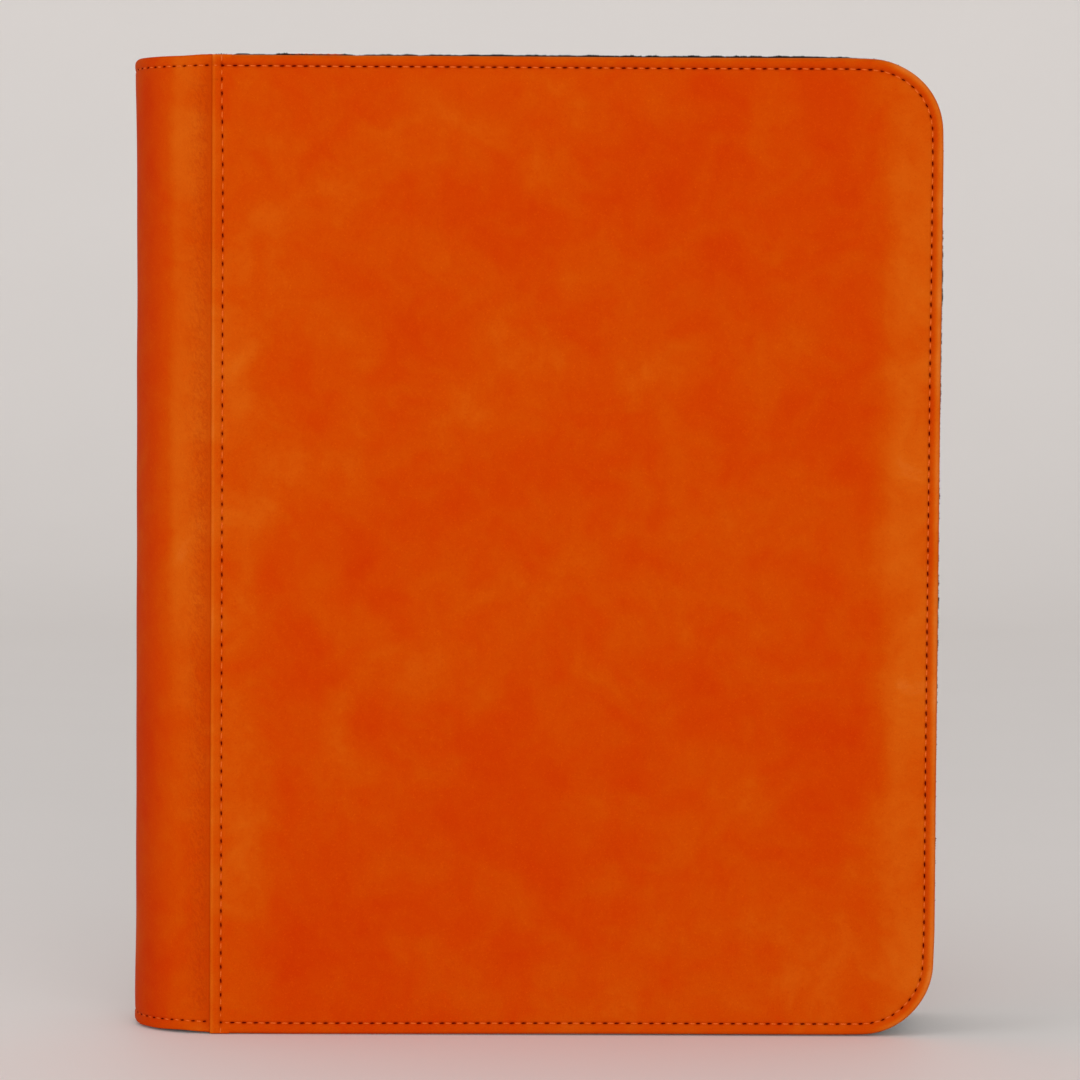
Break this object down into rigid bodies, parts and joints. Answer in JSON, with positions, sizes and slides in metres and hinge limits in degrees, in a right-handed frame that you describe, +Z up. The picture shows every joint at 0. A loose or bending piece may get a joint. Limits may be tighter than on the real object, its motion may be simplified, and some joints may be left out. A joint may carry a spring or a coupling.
{
  "type": "zip-around card binder",
  "caption": "Upright zip-around binder with rounded stiff leather covers, a half-round spine, a black cloth zip band and hinged pages of clear card pockets.",
  "frame": {"origin": "bottom centre of the closed binder's bounding box, on the surface that its lower edge stands on", "axes": "+Z up along the spine, +X from the spine to the fore-edge, +Y from the front cover to the back cover"},
  "size_m": [0.2915, 0.0556, 0.3552],
  "materials": {
    "orange_leather": "waxed pull-up artificial leather, mottled red-orange, fine grain",
    "cover_foam": "thin foam padding",
    "grey_board": "dense grey board",
    "black_lining": "fine black cloth",
    "black_gusset_cloth": "ribbed black cloth",
    "zip_tape": "herringbone woven tape",
    "zip_teeth": "moulded nylon, semi-matt black",
    "zip_metal": "dark gunmetal",
    "sewing_thread": "waxed thread",
    "spine_stiffener": "springy sheet",
    "guard_cloth": "binding cloth",
    "page_sheet": "satin black sheet",
    "clear_film": "clear glossy film"
  },
  "bodies": {
    "spine": {"spine_leather": "orange_leather", "spine_stiffener": "spine_stiffener", "spine_lining": "black_lining", "spine_cap_top": "black_gusset_cloth", "spine_cap_bottom": "black_gusset_cloth", "spine_seam_thread": "sewing_thread", "binding_board": "grey_board", "page_guards": "guard_cloth"},
    "front_cover": {"front_cover_leather": "orange_leather", "front_cover_foam": "cover_foam", "front_cover_board": "grey_board", "front_cover_lining": "black_lining", "front_hinge_tab": "orange_leather", "front_gusset": "black_gusset_cloth", "front_gusset_piping": "black_gusset_cloth", "front_zip_tape": "zip_tape", "front_zip_teeth": "zip_teeth", "front_zip_stops": "zip_metal", "front_seam_thread": "sewing_thread"},
    "back_cover": {"back_cover_leather": "orange_leather", "back_cover_foam": "cover_foam", "back_cover_board": "grey_board", "back_cover_lining": "black_lining", "back_hinge_tab": "orange_leather", "back_gusset": "black_gusset_cloth", "back_gusset_piping": "black_gusset_cloth", "back_zip_tape": "zip_tape", "back_zip_teeth": "zip_teeth", "back_zip_stops": "zip_metal", "back_seam_thread": "sewing_thread"},
    "zip_slider": {"zip_slider": "zip_metal"},
    "zip_pull": {"zip_puller": "zip_metal", "zip_pull_tab": "orange_leather", "zip_pull_rivet": "zip_metal"},
    "leaf_01": {"leaf_01_sheet": "page_sheet", "leaf_01_pockets": "clear_film"},
    "leaf_02": {"leaf_02_sheet": "page_sheet", "leaf_02_pockets": "clear_film"},
    "leaf_03": {"leaf_03_sheet": "page_sheet", "leaf_03_pockets": "clear_film"},
    "leaf_04": {"leaf_04_sheet": "page_sheet", "leaf_04_pockets": "clear_film"},
    "leaf_05": {"leaf_05_sheet": "page_sheet", "leaf_05_pockets": "clear_film"},
    "leaf_06": {"leaf_06_sheet": "page_sheet", "leaf_06_pockets": "clear_film"},
    "leaf_07": {"leaf_07_sheet": "page_sheet", "leaf_07_pockets": "clear_film"},
    "leaf_08": {"leaf_08_sheet": "page_sheet", "leaf_08_pockets": "clear_film"},
    "leaf_09": {"leaf_09_sheet": "page_sheet", "leaf_09_pockets": "clear_film"},
    "leaf_10": {"leaf_10_sheet": "page_sheet", "leaf_10_pockets": "clear_film"},
    "leaf_11": {"leaf_11_sheet": "page_sheet", "leaf_11_pockets": "clear_film"},
    "leaf_12": {"leaf_12_sheet": "page_sheet", "leaf_12_pockets": "clear_film"}
  },
  "joints": [
    {"name": "front_cover_hinge", "type": "hinge", "parent": "spine", "child": "front_cover", "pos_m": [-0.11743, -0.0271, 0], "axis": [0, 0, -1], "range_deg": [0, 175]},
    {"name": "back_cover_hinge", "type": "hinge", "parent": "spine", "child": "back_cover", "pos_m": [-0.11743, 0.0271, 0], "axis": [0, 0, 1], "range_deg": [0, 175]},
    {"name": "leaf_01_hinge", "type": "hinge", "parent": "spine", "child": "leaf_01", "pos_m": [-0.11893, -0.02099, 0], "axis": [0, 0, -1], "range_deg": [0, 63]},
    {"name": "leaf_02_hinge", "type": "hinge", "parent": "spine", "child": "leaf_02", "pos_m": [-0.11893, -0.01717, 0], "axis": [0, 0, -1], "range_deg": [0, 52.5]},
    {"name": "leaf_03_hinge", "type": "hinge", "parent": "spine", "child": "leaf_03", "pos_m": [-0.11893, -0.01336, 0], "axis": [0, 0, -1], "range_deg": [0, 42]},
    {"name": "leaf_04_hinge", "type": "hinge", "parent": "spine", "child": "leaf_04", "pos_m": [-0.11893, -0.00954, 0], "axis": [0, 0, -1], "range_deg": [0, 29.75]},
    {"name": "leaf_05_hinge", "type": "hinge", "parent": "spine", "child": "leaf_05", "pos_m": [-0.11893, -0.00573, 0], "axis": [0, 0, -1], "range_deg": [0, 17.5]},
    {"name": "leaf_06_hinge", "type": "hinge", "parent": "spine", "child": "leaf_06", "pos_m": [-0.11893, -0.00191, 0], "axis": [0, 0, -1], "range_deg": [0, 5.25]},
    {"name": "leaf_07_hinge", "type": "hinge", "parent": "spine", "child": "leaf_07", "pos_m": [-0.11893, 0.00191, 0], "axis": [0, 0, 1], "range_deg": [0, 5.25]},
    {"name": "leaf_08_hinge", "type": "hinge", "parent": "spine", "child": "leaf_08", "pos_m": [-0.11893, 0.00573, 0], "axis": [0, 0, 1], "range_deg": [0, 17.5]},
    {"name": "leaf_09_hinge", "type": "hinge", "parent": "spine", "child": "leaf_09", "pos_m": [-0.11893, 0.00954, 0], "axis": [0, 0, 1], "range_deg": [0, 29.75]},
    {"name": "leaf_10_hinge", "type": "hinge", "parent": "spine", "child": "leaf_10", "pos_m": [-0.11893, 0.01336, 0], "axis": [0, 0, 1], "range_deg": [0, 42]},
    {"name": "leaf_11_hinge", "type": "hinge", "parent": "spine", "child": "leaf_11", "pos_m": [-0.11893, 0.01717, 0], "axis": [0, 0, 1], "range_deg": [0, 52.5]},
    {"name": "leaf_12_hinge", "type": "hinge", "parent": "spine", "child": "leaf_12", "pos_m": [-0.11893, 0.02099, 0], "axis": [0, 0, 1], "range_deg": [0, 63]},
    {"name": "zip_slider_travel", "type": "slide", "parent": "back_cover", "child": "zip_slider", "axis": [1, 0, 0], "range_m": [0, 0.219]},
    {"name": "zip_pull_flip", "type": "hinge", "parent": "zip_slider", "child": "zip_pull", "pos_m": [-0.10783, 0, 0.3532], "axis": [0, -1, 0], "range_deg": [0, 165]}
  ],
  "couplings": [
    {"joint": "leaf_01_hinge", "follows": "front_cover_hinge", "ratio": 0.36},
    {"joint": "leaf_02_hinge", "follows": "front_cover_hinge", "ratio": 0.3},
    {"joint": "leaf_03_hinge", "follows": "front_cover_hinge", "ratio": 0.24},
    {"joint": "leaf_04_hinge", "follows": "front_cover_hinge", "ratio": 0.17},
    {"joint": "leaf_05_hinge", "follows": "front_cover_hinge", "ratio": 0.1},
    {"joint": "leaf_06_hinge", "follows": "front_cover_hinge", "ratio": 0.03},
    {"joint": "leaf_07_hinge", "follows": "back_cover_hinge", "ratio": 0.03},
    {"joint": "leaf_08_hinge", "follows": "back_cover_hinge", "ratio": 0.1},
    {"joint": "leaf_09_hinge", "follows": "back_cover_hinge", "ratio": 0.17},
    {"joint": "leaf_10_hinge", "follows": "back_cover_hinge", "ratio": 0.24},
    {"joint": "leaf_11_hinge", "follows": "back_cover_hinge", "ratio": 0.3},
    {"joint": "leaf_12_hinge", "follows": "back_cover_hinge", "ratio": 0.36}
  ]
}
